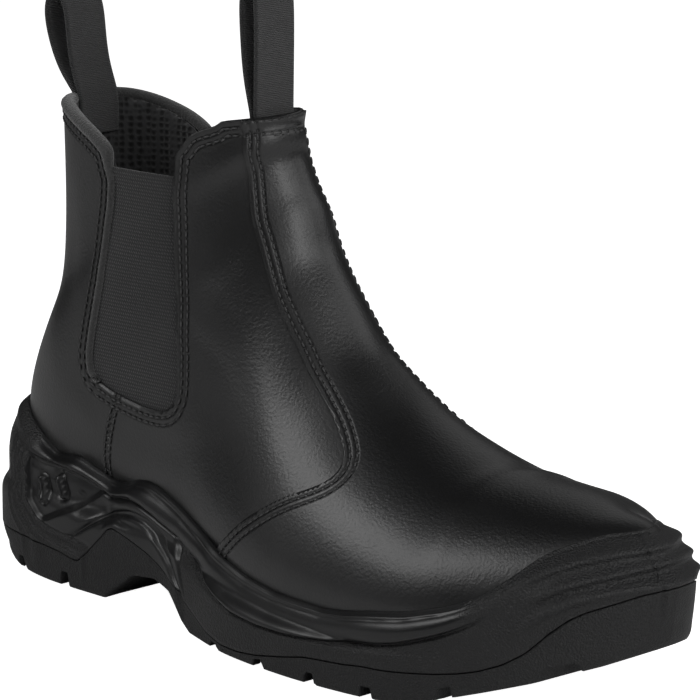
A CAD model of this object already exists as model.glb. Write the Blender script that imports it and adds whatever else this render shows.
import math

import bpy
import numpy as np
from mathutils import Matrix, Vector
from mathutils.bvhtree import BVHTree
from mathutils.kdtree import KDTree


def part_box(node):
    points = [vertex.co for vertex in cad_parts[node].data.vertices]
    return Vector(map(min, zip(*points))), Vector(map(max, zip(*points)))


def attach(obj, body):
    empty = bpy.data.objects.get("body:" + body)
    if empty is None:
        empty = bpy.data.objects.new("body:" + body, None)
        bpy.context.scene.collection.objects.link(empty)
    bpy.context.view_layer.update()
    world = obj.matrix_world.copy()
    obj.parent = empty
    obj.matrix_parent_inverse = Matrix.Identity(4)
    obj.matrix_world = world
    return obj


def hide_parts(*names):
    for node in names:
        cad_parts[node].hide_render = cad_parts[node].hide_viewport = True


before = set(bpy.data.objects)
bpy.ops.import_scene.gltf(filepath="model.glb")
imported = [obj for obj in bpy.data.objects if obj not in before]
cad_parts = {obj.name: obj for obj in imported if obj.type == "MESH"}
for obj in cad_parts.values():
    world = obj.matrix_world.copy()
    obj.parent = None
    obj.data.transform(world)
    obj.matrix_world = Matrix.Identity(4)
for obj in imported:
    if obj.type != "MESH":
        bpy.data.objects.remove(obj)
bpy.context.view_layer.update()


# The studio. A plain pale floor under large soft lights, and a long lens that looks down on
# the boot's outer side from in front of the toe.
bpy.ops.object.select_all(action="DESELECT")
AIM = Vector((0.00341, 0.00799, 0.09407))
LENS_DISTANCE = 1.3167
LAMP_DISTANCE = 1.4


def way_to(azimuth, elevation):
    """Direction out from the boot, in degrees; azimuth 0 faces its outer side."""
    a = math.radians(azimuth)
    e = math.radians(elevation)
    return Vector((math.sin(a) * math.cos(e), -math.cos(a) * math.cos(e), math.sin(e)))


def stand(name, data, way, distance):
    """Put a camera or a lamp at a distance from the boot, facing it."""
    thing = bpy.data.objects.new(name, data)
    bpy.context.scene.collection.objects.link(thing)
    thing.location = AIM + distance * way
    thing.rotation_euler = (-way).to_track_quat("-Z", "Y").to_euler()
    return thing


camera_data = bpy.data.cameras.new("studio_camera")
camera_data.sensor_width = 36.0
camera_data.lens = 201.1
bpy.context.scene.camera = stand("studio_camera", camera_data, way_to(45.35, 13.07), LENS_DISTANCE)

# name, azimuth and elevation seen from the boot in degrees, width, height, power
SOFT_LIGHTS = (
    ("outer_key", -34.0, 44.0, 0.6, 0.7, 5.6),
    ("toe_light", 80.0, 26.0, 0.5, 0.8, 5.0),
    ("front_light", 110.0, 30.0, 0.7, 0.8, 3.0),
    ("far_light", 150.0, 28.0, 0.8, 0.8, 2.2),
    ("near_fill", 50.0, 26.0, 0.8, 0.9, 1.6),
    ("top_light", 20.0, 68.0, 0.8, 0.6, 0.9),
    ("back_light", 205.0, 32.0, 0.8, 0.8, 0.7),
    ("heel_light", -40.0, 12.0, 0.8, 0.5, 0.5),
)
for name, azimuth, elevation, width, height, power in SOFT_LIGHTS:
    lamp = bpy.data.lights.new(name, "AREA")
    lamp.shape = "RECTANGLE"
    lamp.size = width
    lamp.size_y = height
    lamp.energy = power
    stand(name, lamp, way_to(azimuth, elevation), LAMP_DISTANCE)

world = bpy.data.worlds.new("pale_room")
bpy.context.scene.world = world
world.use_nodes = True
room = world.node_tree.nodes["Background"]
room.inputs["Color"].default_value = (1.0, 1.0, 1.0, 1.0)
room.inputs["Strength"].default_value = 0.012
bpy.context.scene.view_settings.view_transform = "Standard"

bpy.ops.mesh.primitive_plane_add(size=14.0, location=(0.0, 0.0, -0.0004))
floor = bpy.context.object
floor.name = "studio_floor"
floor_paint = bpy.data.materials.new("pale_floor")
floor_paint.use_nodes = True
floor_shader = floor_paint.node_tree.nodes["Principled BSDF"]
floor_shader.inputs["Base Color"].default_value = (0.92, 0.92, 0.92, 1.0)
floor_shader.inputs["Roughness"].default_value = 0.9
floor_shader.inputs["Emission Color"].default_value = (1.0, 1.0, 1.0, 1.0)
seen_by = floor_paint.node_tree.nodes.new("ShaderNodeLightPath")
floor_paint.node_tree.links.new(seen_by.outputs["Is Camera Ray"], floor_shader.inputs["Emission Strength"])
floor.data.materials.append(floor_paint)


# The last. The whole upper is stretched over it, so every sheet of leather, elastic and
# lining takes its place from these sections. They run from the toe up to the collar.
SOLE_LENGTH = 0.300
BALL_WIDTH = 0.108
COLLAR_HEIGHT = 0.175
INSTEP_HEIGHT = 0.098
LAST_ORIGIN = Vector((-0.14625, 0.003699, 0.0))
ABOVE_INSTEP = 0.786  # the collar's height over the instep, in instep heights of the table
LAST_SECTIONS = (
    # top x, top z, bottom x, bottom z, centre, half width, ridge, widest, crown, base
    (0.963, 0.439, 0.963, 0.439, 0.055, 0.000, 0.055, 0.50, 1.92, 3.0),
    (0.959, 0.515, 0.959, 0.316, 0.053, 0.083, 0.053, 0.55, 1.92, 3.0),
    (0.949, 0.566, 0.949, 0.264, 0.048, 0.160, 0.048, 0.60, 1.92, 3.0),
    (0.930, 0.600, 0.930, 0.233, 0.043, 0.232, 0.043, 0.64, 1.92, 3.0),
    (0.902, 0.618, 0.902, 0.207, 0.036, 0.302, 0.036, 0.66, 1.92, 3.0),
    (0.867, 0.633, 0.867, 0.182, 0.032, 0.361, 0.056, 0.67, 1.92, 3.0),
    (0.817, 0.645, 0.817, 0.161, 0.014, 0.398, 0.046, 0.68, 1.92, 3.0),
    (0.763, 0.657, 0.763, 0.148, -0.007, 0.424, 0.037, 0.70, 1.92, 3.0),
    (0.710, 0.686, 0.707, 0.143, -0.026, 0.431, 0.028, 0.72, 1.92, 3.0),
    (0.660, 0.739, 0.643, 0.147, -0.046, 0.426, 0.019, 0.74, 1.95, 3.0),
    (0.613, 0.811, 0.573, 0.161, -0.065, 0.412, 0.009, 0.75, 1.95, 3.0),
    (0.570, 0.909, 0.497, 0.187, -0.074, 0.384, 0.005, 0.75, 1.95, 3.0),
    (0.535, 1.019, 0.413, 0.223, -0.065, 0.347, 0.000, 0.72, 1.95, 3.0),
    (0.495, 1.184, 0.323, 0.243, -0.042, 0.315, 0.000, 0.66, 1.98, 3.0),
    (0.472, 1.286, 0.220, 0.269, -0.023, 0.310, 0.000, 0.60, 2.12, 3.0),
    (0.459, 1.378, 0.127, 0.258, -0.014, 0.315, 0.000, 0.58, 2.12, 2.8),
    (0.451, 1.454, 0.057, 0.269, -0.009, 0.315, 0.000, 0.58, 2.12, 2.6),
    (0.440, 1.520, 0.015, 0.418, -0.012, 0.307, -0.006, 0.56, 2.12, 2.4),
    (0.431, 1.582, 0.017, 0.612, -0.017, 0.294, -0.012, 0.54, 2.12, 2.35),
    (0.427, 1.633, 0.045, 0.816, -0.023, 0.278, -0.020, 0.53, 2.12, 2.35),
    (0.427, 1.684, 0.072, 0.990, -0.031, 0.261, -0.029, 0.52, 2.12, 2.35),
    (0.423, 1.735, 0.081, 1.194, -0.031, 0.257, -0.031, 0.52, 2.12, 2.35),
    (0.426, 1.786, 0.083, 1.449, -0.031, 0.260, -0.031, 0.52, 2.12, 2.35),
    (0.429, 1.900, 0.080, 1.857, -0.031, 0.262, -0.031, 0.52, 2.12, 2.35),
)


def spline(rows, places):
    """Smooth curve through the rows of a table, read at places counted in rows."""
    rows = np.asarray(rows, float)
    last = len(rows) - 1
    matrix = np.zeros((last + 1, last + 1))
    right = np.zeros_like(rows)
    matrix[0, 0] = 1.0
    matrix[last, last] = 1.0
    for i in range(1, last):
        matrix[i, i - 1:i + 2] = (1.0, 4.0, 1.0)
        right[i] = 6.0 * (rows[i + 1] - 2.0 * rows[i] + rows[i - 1])
    bend = np.linalg.solve(matrix, right)
    places = np.clip(np.atleast_1d(places).astype(float), 0.0, last)
    low = np.minimum(places.astype(int), last - 1)
    b = (places - low)[:, None]
    a = 1.0 - b
    curve = ((a ** 3 - a) * bend[low] + (b ** 3 - b) * bend[low + 1]) / 6.0
    return a * rows[low] + b * rows[low + 1] + curve


def last_points(places, angles):
    """Points on the last: angle 0 is the top of a section and pi its bottom."""
    tx, tz, bx, bz, centre, half, ridge, widest, crown, base = spline(LAST_SECTIONS, places).T
    c = np.cos(angles)
    s = np.sin(angles)
    size = np.abs(c)
    upper = widest * (1.0 - size ** (2.0 / crown))
    down = np.where(c >= 0.0, upper, widest + (1.0 - widest) * size ** (2.0 / base))
    side = np.sign(s) * np.abs(s) ** np.where(c >= 0.0, 1.0, 2.0 / (1.0 + 0.5 * base))
    above = (COLLAR_HEIGHT - INSTEP_HEIGHT) / ABOVE_INSTEP
    tz = np.where(tz < 1.0, tz * INSTEP_HEIGHT, INSTEP_HEIGHT + (tz - 1.0) * above)
    bz = np.where(bz < 1.0, bz * INSTEP_HEIGHT, INSTEP_HEIGHT + (bz - 1.0) * above)
    x = (tx + (bx - tx) * down) * SOLE_LENGTH
    y = (centre - half * side + (ridge - centre) * np.clip(c, 0.0, 1.0) ** 1.5) * BALL_WIDTH
    return np.stack([x, y, tz + (bz - tz) * down], axis=1)


def last_normals(places, angles):
    """Outward directions square to the last."""
    top = len(LAST_SECTIONS) - 1.0
    ahead = last_points(np.minimum(places + 0.02, top), angles)
    along = ahead - last_points(np.maximum(places - 0.02, 0.0), angles)
    around = last_points(places, angles + 0.01) - last_points(places, angles - 0.01)
    normal = np.cross(along, around)
    size = np.linalg.norm(normal, axis=1)
    flat = size < 1e-12
    normal[flat] = (1.0, 0.0, 0.0)
    size[flat] = 1.0
    return normal / size[:, None]


# Rows are spread so that they lie evenly over the leather
RING_ROWS = 500
RING_SPOKES = 48
row_steps = np.linspace(0.0, len(LAST_SECTIONS) - 1.0, RING_ROWS)
ring = np.linspace(0.0, 2.0 * np.pi, RING_SPOKES, endpoint=False)
ring_points = last_points(np.repeat(row_steps, RING_SPOKES), np.tile(ring, RING_ROWS))
ring_points = ring_points.reshape(RING_ROWS, RING_SPOKES, 3)
row_gaps = np.linalg.norm(np.diff(ring_points, axis=0), axis=2).mean(axis=1)
row_run = np.concatenate([[0.0], np.cumsum(row_gaps)])


def chart_places(share):
    """Section of the last for a share from -1 at the toe to 1 at the collar."""
    return np.interp(0.5 * (share + 1.0) * row_run[-1], row_run, row_steps)


def get_points(thing):
    """An object's vertices as an array."""
    flat = np.empty(3 * len(thing.data.vertices))
    thing.data.vertices.foreach_get("co", flat)
    return flat.reshape(-1, 3)


def set_points(thing, points):
    """Put an object's vertices where an array says."""
    thing.data.vertices.foreach_set("co", np.ascontiguousarray(points).ravel())
    thing.data.update()


def select_only(thing):
    """Select one object and make it the active one."""
    bpy.ops.object.select_all(action="DESELECT")
    thing.select_set(True)
    bpy.context.view_layer.objects.active = thing


def weld(thing, gap):
    """Merge points that lie closer than a gap, and turn the faces outwards."""
    select_only(thing)
    bpy.ops.object.mode_set(mode="EDIT")
    bpy.ops.mesh.select_all(action="SELECT")
    bpy.ops.mesh.remove_doubles(threshold=gap)
    bpy.ops.mesh.normals_make_consistent(inside=False)
    bpy.ops.object.mode_set(mode="OBJECT")


def net(name, grid):
    """A sheet of faces through a grid of points."""
    bpy.ops.object.select_all(action="DESELECT")
    bpy.ops.mesh.primitive_grid_add(
        x_subdivisions=grid.shape[1] - 1, y_subdivisions=grid.shape[0] - 1, size=1.0
    )
    sheet = bpy.context.object
    sheet.name = name
    set_points(sheet, grid.reshape(-1, 3))
    return sheet

def pattern_sheet(name, rows, columns):
    """A flat sheet of fine squares: its length runs from toe to collar, its width round the foot."""
    bpy.ops.object.select_all(action="DESELECT")
    bpy.ops.mesh.primitive_grid_add(x_subdivisions=rows, y_subdivisions=columns, size=2.0)
    sheet = bpy.context.object
    sheet.name = name
    return sheet


def on_last(sheet, lift=0.0):
    """Where the sheet's points lie once it is stretched over the last."""
    chart = get_points(sheet)
    places = chart_places(chart[:, 0])
    angles = np.pi * chart[:, 1]
    return last_points(places, angles) + lift * last_normals(places, angles)


def cut_away(sheet, field):
    """Trim the flat sheet along the line where a distance over the last turns positive."""
    chart = get_points(sheet)
    chart[:, 2] = 5.0 * field(on_last(sheet))
    set_points(sheet, chart)
    select_only(sheet)
    bpy.ops.object.mode_set(mode="EDIT")
    bpy.ops.mesh.select_all(action="SELECT")
    bpy.ops.mesh.bisect(plane_co=(0.0, 0.0, 0.0), plane_no=(0.0, 0.0, 1.0), clear_outer=True)
    bpy.ops.object.mode_set(mode="OBJECT")


def line_gap(x, z, points):
    """Distance in the plane to a line of points."""
    near = np.full(x.shape, 1e9)
    for (ax, az), (bx, bz) in zip(points[:-1], points[1:]):
        run = (bx - ax) ** 2 + (bz - az) ** 2 + 1e-18
        share = np.clip(((x - ax) * (bx - ax) + (z - az) * (bz - az)) / run, 0.0, 1.0)
        near = np.minimum(near, np.hypot(x - ax - share * (bx - ax), z - az - share * (bz - az)))
    return near


def inside_outline(x, z, outline):
    """Signed distance in the side view to a closed outline, positive inside it."""
    outline = np.array(outline + outline[:1])
    near = line_gap(x, z, outline)
    inside = np.zeros(len(x), bool)
    for (ax, az), (bx, bz) in zip(outline[:-1], outline[1:]):
        crosses = (az > z) != (bz > z)
        at = ax + (z - az) * (bx - ax) / (bz - az if bz != az else 1e-12)
        inside ^= crosses & (x < at)
    return np.where(inside, near, -near)


def side_line(rows, steps, scale=(SOLE_LENGTH, COLLAR_HEIGHT)):
    """Smooth line of a table in the side view."""
    fine = spline(rows, np.linspace(0, len(rows) - 1, steps))
    return [(x * scale[0], z * scale[1]) for x, z in fine]


def smooth_step(value, low, high):
    """0 below low, 1 above high, and soft in between."""
    share = np.clip((value - low) / (high - low), 0.0, 1.0)
    return share * share * (3.0 - 2.0 * share)


def bell(distance, width):
    """1 at the middle of a bell curve, fading out on both sides."""
    return np.exp(-((distance / width) ** 2))


def unit(vectors):
    """The same directions, each 1 long."""
    return vectors / np.linalg.norm(vectors, axis=1)[:, None]


def ways_along(line):
    """Direction of a line at each of its points."""
    return unit(np.gradient(line, axis=0))

def finish_piece(piece, finishes, slot, *stands_for):
    """Bring a piece from the last to the model's frame, smooth it, colour it and fix it."""
    piece.data.transform(Matrix.Translation(LAST_ORIGIN))
    piece.data.materials.clear()
    for finish in finishes:
        piece.data.materials.append(finish)
    piece.data.polygons.foreach_set("use_smooth", [True] * len(piece.data.polygons))
    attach(piece, "root")
    if stands_for:
        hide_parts(*stands_for)


def use_modifier(thing, kind, **values):
    """Add a modifier and apply it."""
    select_only(thing)
    step = thing.modifiers.new("shaping", kind)
    for key, value in values.items():
        setattr(step, key, value)
    bpy.ops.object.modifier_apply(modifier=step.name)


# The leather. Smooth black corrected-grain hide, about 2 mm thick, with a satin finish. Its raw
# edges are lighter, and two rows of thread sink it a little along each seam.
def new_group(name, inputs, outputs):
    """Start a shader node group."""
    group = bpy.data.node_groups.new(name, "ShaderNodeTree")
    for label, kind, value in inputs:
        socket = group.interface.new_socket(label, in_out="INPUT", socket_type=kind)
        if value is not None:
            socket.default_value = value
    for label, kind in outputs:
        group.interface.new_socket(label, in_out="OUTPUT", socket_type=kind)
    return group, group.nodes.new("NodeGroupInput"), group.nodes.new("NodeGroupOutput")


def feed(tree, socket, value):
    """Link a socket to another one, or set its number or colour."""
    if isinstance(value, tuple):
        socket.default_value = (*value, 1.0)
    elif isinstance(value, (int, float)):
        socket.default_value = value
    else:
        tree.links.new(value, socket)


def math_node(tree, operation, *values):
    """A Math node fed by sockets or numbers; gives its output."""
    node = tree.nodes.new("ShaderNodeMath")
    node.operation = operation
    for socket, value in zip(node.inputs, values):
        feed(tree, socket, value)
    return node.outputs[0]


def texture(tree, kind, place, **values):
    """A texture node at a place, its other inputs fed by name."""
    node = tree.nodes.new("ShaderNodeTex" + kind)
    tree.links.new(place, node.inputs["Vector"])
    for label, value in values.items():
        feed(tree, node.inputs[label.replace("_", " ")], value)
    return node


def soft_range(tree, value, low, high, start=0.0, end=1.0):
    """A smooth Map Range node; gives its output."""
    node = tree.nodes.new("ShaderNodeMapRange")
    node.interpolation_type = "SMOOTHSTEP"
    tree.links.new(value, node.inputs["Value"])
    node.inputs["From Min"].default_value = low
    node.inputs["From Max"].default_value = high
    node.inputs["To Min"].default_value = start
    node.inputs["To Max"].default_value = end
    return node.outputs[0]


# Two rows of needle holes along a run: X is the way along the seam, Y the way from its edge
seam_group, seam_in, seam_out = new_group(
    "thread_rows",
    (("Run", "NodeSocketVector", None), ("Row 1", "NodeSocketFloat", 0.0022),
     ("Row 2", "NodeSocketFloat", 0.0046), ("Pitch", "NodeSocketFloat", 0.0028)),
    (("Height", "NodeSocketFloat"), ("Hole", "NodeSocketFloat")),
)
run_parts = seam_group.nodes.new("ShaderNodeSeparateXYZ")
seam_group.links.new(seam_in.outputs["Run"], run_parts.inputs[0])
beat = math_node(seam_group, "DIVIDE", run_parts.outputs[0], seam_in.outputs["Pitch"])
beat = math_node(seam_group, "FRACT", beat)
beat = math_node(seam_group, "SUBTRACT", beat, 0.5)
beat = math_node(seam_group, "MULTIPLY", beat, seam_in.outputs["Pitch"])
row_heights = []
row_holes = []
for row in ("Row 1", "Row 2"):
    off = math_node(seam_group, "SUBTRACT", run_parts.outputs[1], seam_in.outputs[row])
    apart = math_node(seam_group, "ABSOLUTE", off)
    beat_2 = math_node(seam_group, "MULTIPLY", beat, beat)
    off_2 = math_node(seam_group, "MULTIPLY", off, off)
    away = math_node(seam_group, "SQRT", math_node(seam_group, "ADD", beat_2, off_2))
    hole = soft_range(seam_group, away, 0.00025, 0.00062, 1.0, 0.0)
    sink = soft_range(seam_group, apart, 0.0, 0.0011, 1.0, 0.0)
    row_holes.append(hole)
    row_heights.append(math_node(seam_group, "ADD", hole, math_node(seam_group, "MULTIPLY", sink, 0.55)))
seam_height = math_node(seam_group, "ADD", row_heights[0], row_heights[1])
seam_group.links.new(math_node(seam_group, "MULTIPLY", seam_height, -1.0), seam_out.inputs["Height"])
seam_group.links.new(math_node(seam_group, "MAXIMUM", row_holes[0], row_holes[1]), seam_out.inputs["Hole"])

# Fine pebbled grain, with a slow cloud for the hide's uneven gloss
grain_group, grain_in, grain_out = new_group(
    "hide_grain",
    (("Place", "NodeSocketVector", None), ("Size", "NodeSocketFloat", 900.0)),
    (("Height", "NodeSocketFloat"), ("Cloud", "NodeSocketFloat")),
)
grain_place = grain_in.outputs["Place"]
grain_size = grain_in.outputs["Size"]
cells = texture(grain_group, "Voronoi", grain_place, Scale=grain_size)
cells.feature = "SMOOTH_F1"
fine_size = math_node(grain_group, "MULTIPLY", grain_size, 1.7)
fine = texture(grain_group, "Noise", grain_place, Scale=fine_size, Detail=3.0)
cloud = texture(grain_group, "Noise", grain_place, Scale=22.0, Detail=4.0)
grain_sum = math_node(grain_group, "ADD", cells.outputs["Distance"], fine.outputs[0])
grain_group.links.new(grain_sum, grain_out.inputs["Height"])
grain_group.links.new(cloud.outputs[0], grain_out.inputs["Cloud"])


def new_finish(name, roughness, coat=0.0, coat_roughness=0.3, sheen=0.0, specular=0.5):
    """A Principled material and its parts."""
    finish = bpy.data.materials.new(name)
    finish.use_nodes = True
    tree = finish.node_tree
    shader = tree.nodes["Principled BSDF"]
    shader.inputs["Roughness"].default_value = roughness
    shader.inputs["Coat Weight"].default_value = coat
    shader.inputs["Coat Roughness"].default_value = coat_roughness
    shader.inputs["Sheen Weight"].default_value = sheen
    shader.inputs["Specular IOR Level"].default_value = specular
    return finish, tree, shader


def place_node(tree):
    """Object coordinates of the piece."""
    return tree.nodes.new("ShaderNodeTexCoord").outputs["Object"]


def attribute_node(tree, name):
    """A value kept on the mesh."""
    node = tree.nodes.new("ShaderNodeAttribute")
    node.attribute_name = name
    return node


def colour_blend(tree, share, low, high):
    """A colour between two others; gives the output."""
    node = tree.nodes.new("ShaderNodeMix")
    node.data_type = "RGBA"
    for socket, value in ((node.inputs["Factor"], share), (node.inputs[6], low), (node.inputs[7], high)):
        feed(tree, socket, value)
    return node.outputs[2]


def bump_chain(tree, shader, heights):
    """Bumps one after another, each a height socket with its depth in metres."""
    normal = None
    for height, depth in heights:
        bump = tree.nodes.new("ShaderNodeBump")
        bump.inputs["Distance"].default_value = depth
        tree.links.new(height, bump.inputs["Height"])
        if normal is not None:
            tree.links.new(normal, bump.inputs["Normal"])
        normal = bump.outputs["Normal"]
    tree.links.new(normal, shader.inputs["Normal"])


def flecked_finish(name, roughness, scale, low, high, depth, detail=2.0, **surface):
    """A material whose colour and bump both follow one fine noise."""
    finish, tree, shader = new_finish(name, roughness, **surface)
    fleck = texture(tree, "Noise", place_node(tree), Scale=scale, Detail=detail).outputs[0]
    tree.links.new(colour_blend(tree, fleck, low, high), shader.inputs["Base Color"])
    bump_chain(tree, shader, [(fleck, depth)])
    return finish

def leather_finish(name, row_values):
    """Black hide with thread rows: pairs of a run attribute and its two row distances."""
    finish, tree, shader = new_finish(name, 0.4, coat=0.12, coat_roughness=0.24, specular=0.65)
    grain = tree.nodes.new("ShaderNodeGroup")
    grain.node_tree = grain_group
    grain.inputs["Size"].default_value = 950.0
    tree.links.new(place_node(tree), grain.inputs["Place"])
    heights = [(grain.outputs["Height"], 0.00007)]
    holes = None
    for attribute, row_1, row_2 in row_values:
        rows = tree.nodes.new("ShaderNodeGroup")
        rows.node_tree = seam_group
        rows.inputs["Row 1"].default_value = row_1
        rows.inputs["Row 2"].default_value = row_2
        tree.links.new(attribute_node(tree, attribute).outputs["Vector"], rows.inputs["Run"])
        heights.append((rows.outputs["Height"], 0.00045))
        hole = rows.outputs["Hole"]
        holes = hole if holes is None else math_node(tree, "MAXIMUM", holes, hole)
    cloud_share = soft_range(tree, grain.outputs["Cloud"], 0.35, 0.7)
    hide = colour_blend(tree, cloud_share, (0.0050, 0.0050, 0.0053), (0.0085, 0.0085, 0.0088))
    hide = colour_blend(tree, holes, hide, (0.001, 0.001, 0.001))
    tree.links.new(hide, shader.inputs["Base Color"])
    gloss = soft_range(tree, grain.outputs["Cloud"], 0.3, 0.75, 0.36, 0.43)
    tree.links.new(gloss, shader.inputs["Roughness"])
    bump_chain(tree, shader, heights)
    return finish


raw_edge = flecked_finish(
    "raw_leather_edge", 0.85, 1800.0, (0.012, 0.012, 0.012), (0.045, 0.044, 0.043), 0.0003
)

# The quarters. One hide from the vamp's seam round the heel, cut out for the elastic at each
# side and along the collar; its lower edge goes under the sole.
GORE_EDGE = (
    (0.230, 0.880), (0.227, 0.794), (0.220, 0.726), (0.212, 0.617), (0.201, 0.520), (0.198, 0.480),
    (0.201, 0.450), (0.218, 0.427), (0.257, 0.411), (0.290, 0.404), (0.322, 0.404), (0.341, 0.415),
    (0.350, 0.442), (0.349, 0.486), (0.345, 0.540), (0.338, 0.600), (0.331, 0.686), (0.327, 0.771),
    (0.325, 0.880),
)
COLLAR_BACK = (
    (-0.10, 0.957), (0.060, 0.957), (0.117, 0.954), (0.160, 0.935), (0.195, 0.912), (0.217, 0.890),
)
COLLAR_FRONT = (
    (0.330, 0.906), (0.341, 0.929), (0.355, 0.951), (0.380, 0.968), (0.410, 0.980), (0.600, 1.000),
)
VAMP_EDGE = (
    (0.400, 1.030), (0.401, 0.971), (0.403, 0.923), (0.405, 0.880), (0.409, 0.838), (0.416, 0.791),
    (0.425, 0.756), (0.437, 0.713), (0.452, 0.663), (0.467, 0.627), (0.485, 0.590), (0.502, 0.558),
    (0.520, 0.524), (0.546, 0.483), (0.572, 0.446), (0.595, 0.410), (0.606, 0.388), (0.609, 0.370),
    (0.602, 0.351), (0.583, 0.333), (0.560, 0.314), (0.536, 0.289), (0.507, 0.255), (0.482, 0.219),
    (0.452, 0.173), (0.425, 0.120),
)
HIDE_THICKNESS = 0.0019
VAMP_LIFT = 0.0010
RUN_STEP = 0.0004
INNER_TOE_TRIM = 0.0024
RIM_ROWS = (0.0024, 0.0050)
VAMP_ROWS = (0.0022, 0.0047)
SIDE_ROW = 0.0013
NO_ROW = -0.001
SHAFT_HALF = 0.260 * BALL_WIDTH
GORE_SLANT = -0.006 / (2.0 * SHAFT_HALF)
gore_line = side_line(GORE_EDGE, 73)
collar_hole = [(-0.1 * SOLE_LENGTH, 0.24)] + side_line(COLLAR_BACK, 21)
collar_hole += gore_line[2:-2] + side_line(COLLAR_FRONT, 21) + [(0.6 * SOLE_LENGTH, 0.24)]
vamp_line = side_line(VAMP_EDGE, 97)
vamp_area = [(0.386 * SOLE_LENGTH, 0.26)] + vamp_line + [(0.33, 0.0175), (0.33, 0.26)]

# Top edge of the sole on the leather: x and height in millimetres
SOLE_EDGE = (
    (-6, 57.5), (3, 57), (14, 53.5), (26, 49.5), (40, 43.9), (47, 44.6), (52, 45.1), (56, 44.3),
    (61, 42.4), (67, 40.7), (71, 39.7), (76, 39.9), (81, 41.4), (84, 42.8), (91, 43.8), (95, 43.5),
    (102, 41.9), (109, 39.8), (117, 37.2), (128, 33.8), (138, 30.5), (155, 26.8), (170, 24.9),
    (184, 24.4), (194, 24.1), (203, 25.0), (214, 27.0), (229, 29.3), (235, 30.9), (243, 33.1),
    (248, 35.0), (254, 38.1), (263, 44.7), (269, 49.6), (273, 52.0), (279, 54.6), (285, 56.4),
    (289, 57.2), (300, 57.6),
)


def line_height(line, x):
    """Height of a table line at x, both in metres."""
    table = 0.001 * np.array(line, float)
    return np.interp(x, table[:, 0], table[:, 1])


def shaft_x(points):
    """x in the side view, turned so that the inner cut-out lies a little further back."""
    return points[:, 0] - GORE_SLANT * (points[:, 1] + SHAFT_HALF)


def in_collar_hole(points):
    return inside_outline(shaft_x(points), points[:, 2], collar_hole)


def below_sole_edge(points):
    return line_height(SOLE_EDGE, points[:, 0]) - 0.007 - points[:, 2]


def on_vamp(points):
    return inside_outline(points[:, 0], points[:, 2], vamp_area)


def border_run(sheet, keep):
    """Open border of a sheet as one ordered line of points, where keep says so."""
    count = {}
    for face in sheet.data.polygons:
        for key in face.edge_keys:
            count[key] = count.get(key, 0) + 1
    points = on_last(sheet)
    kept = keep(points)
    beside = {}
    for (a, b), times in count.items():
        if times == 1 and kept[a] and kept[b]:
            beside.setdefault(a, []).append(b)
            beside.setdefault(b, []).append(a)
    ends = [v for v, near in beside.items() if len(near) == 1]
    here = min(ends or beside, key=lambda v: points[v, 0])
    order = [here]
    seen = {here}
    while True:
        ahead = [v for v in beside[order[-1]] if v not in seen]
        if not ahead:
            break
        order.append(ahead[0])
        seen.add(ahead[0])
    if not ends:
        order.append(order[0])
    return even_run(points[order], RUN_STEP)


def even_run(points, spacing):
    """The same line with points at an even spacing."""
    run = np.concatenate([[0.0], np.cumsum(np.linalg.norm(np.diff(points, axis=0), axis=1))])
    steps = np.linspace(0.0, run[-1], max(2, int(round(run[-1] / spacing)) + 1))
    return np.stack([np.interp(steps, run, points[:, k]) for k in range(3)], axis=1)


def search_tree(points):
    """Tree that finds the nearest of some points."""
    tree = KDTree(len(points))
    for i, point in enumerate(points):
        tree.insert(point, i)
    tree.balance()
    return tree


def keep_values(thing, name, values):
    """Store a number or a vector on each vertex, under a name that its material reads."""
    vectors = values.ndim == 2
    store = thing.data.attributes.new(name, "FLOAT_VECTOR" if vectors else "FLOAT", "POINT")
    store.data.foreach_set("vector" if vectors else "value", values.astype(np.float32).ravel())


def keep_run(thing, name, line, points):
    """Store on each vertex how far along a line it lies, and how far from it."""
    tree = search_tree(line)
    spacing = np.linalg.norm(line[1] - line[0])
    along = ways_along(line)
    values = np.zeros((len(points), 3))
    for k, point in enumerate(points):
        _, i, _ = tree.find(point)
        offset = point - line[i]
        shift = float(offset @ along[i])
        values[k, 0] = i * spacing + shift
        values[k, 1] = math.sqrt(max(float(offset @ offset) - shift * shift, 0.0))
    keep_values(thing, name, values)


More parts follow.
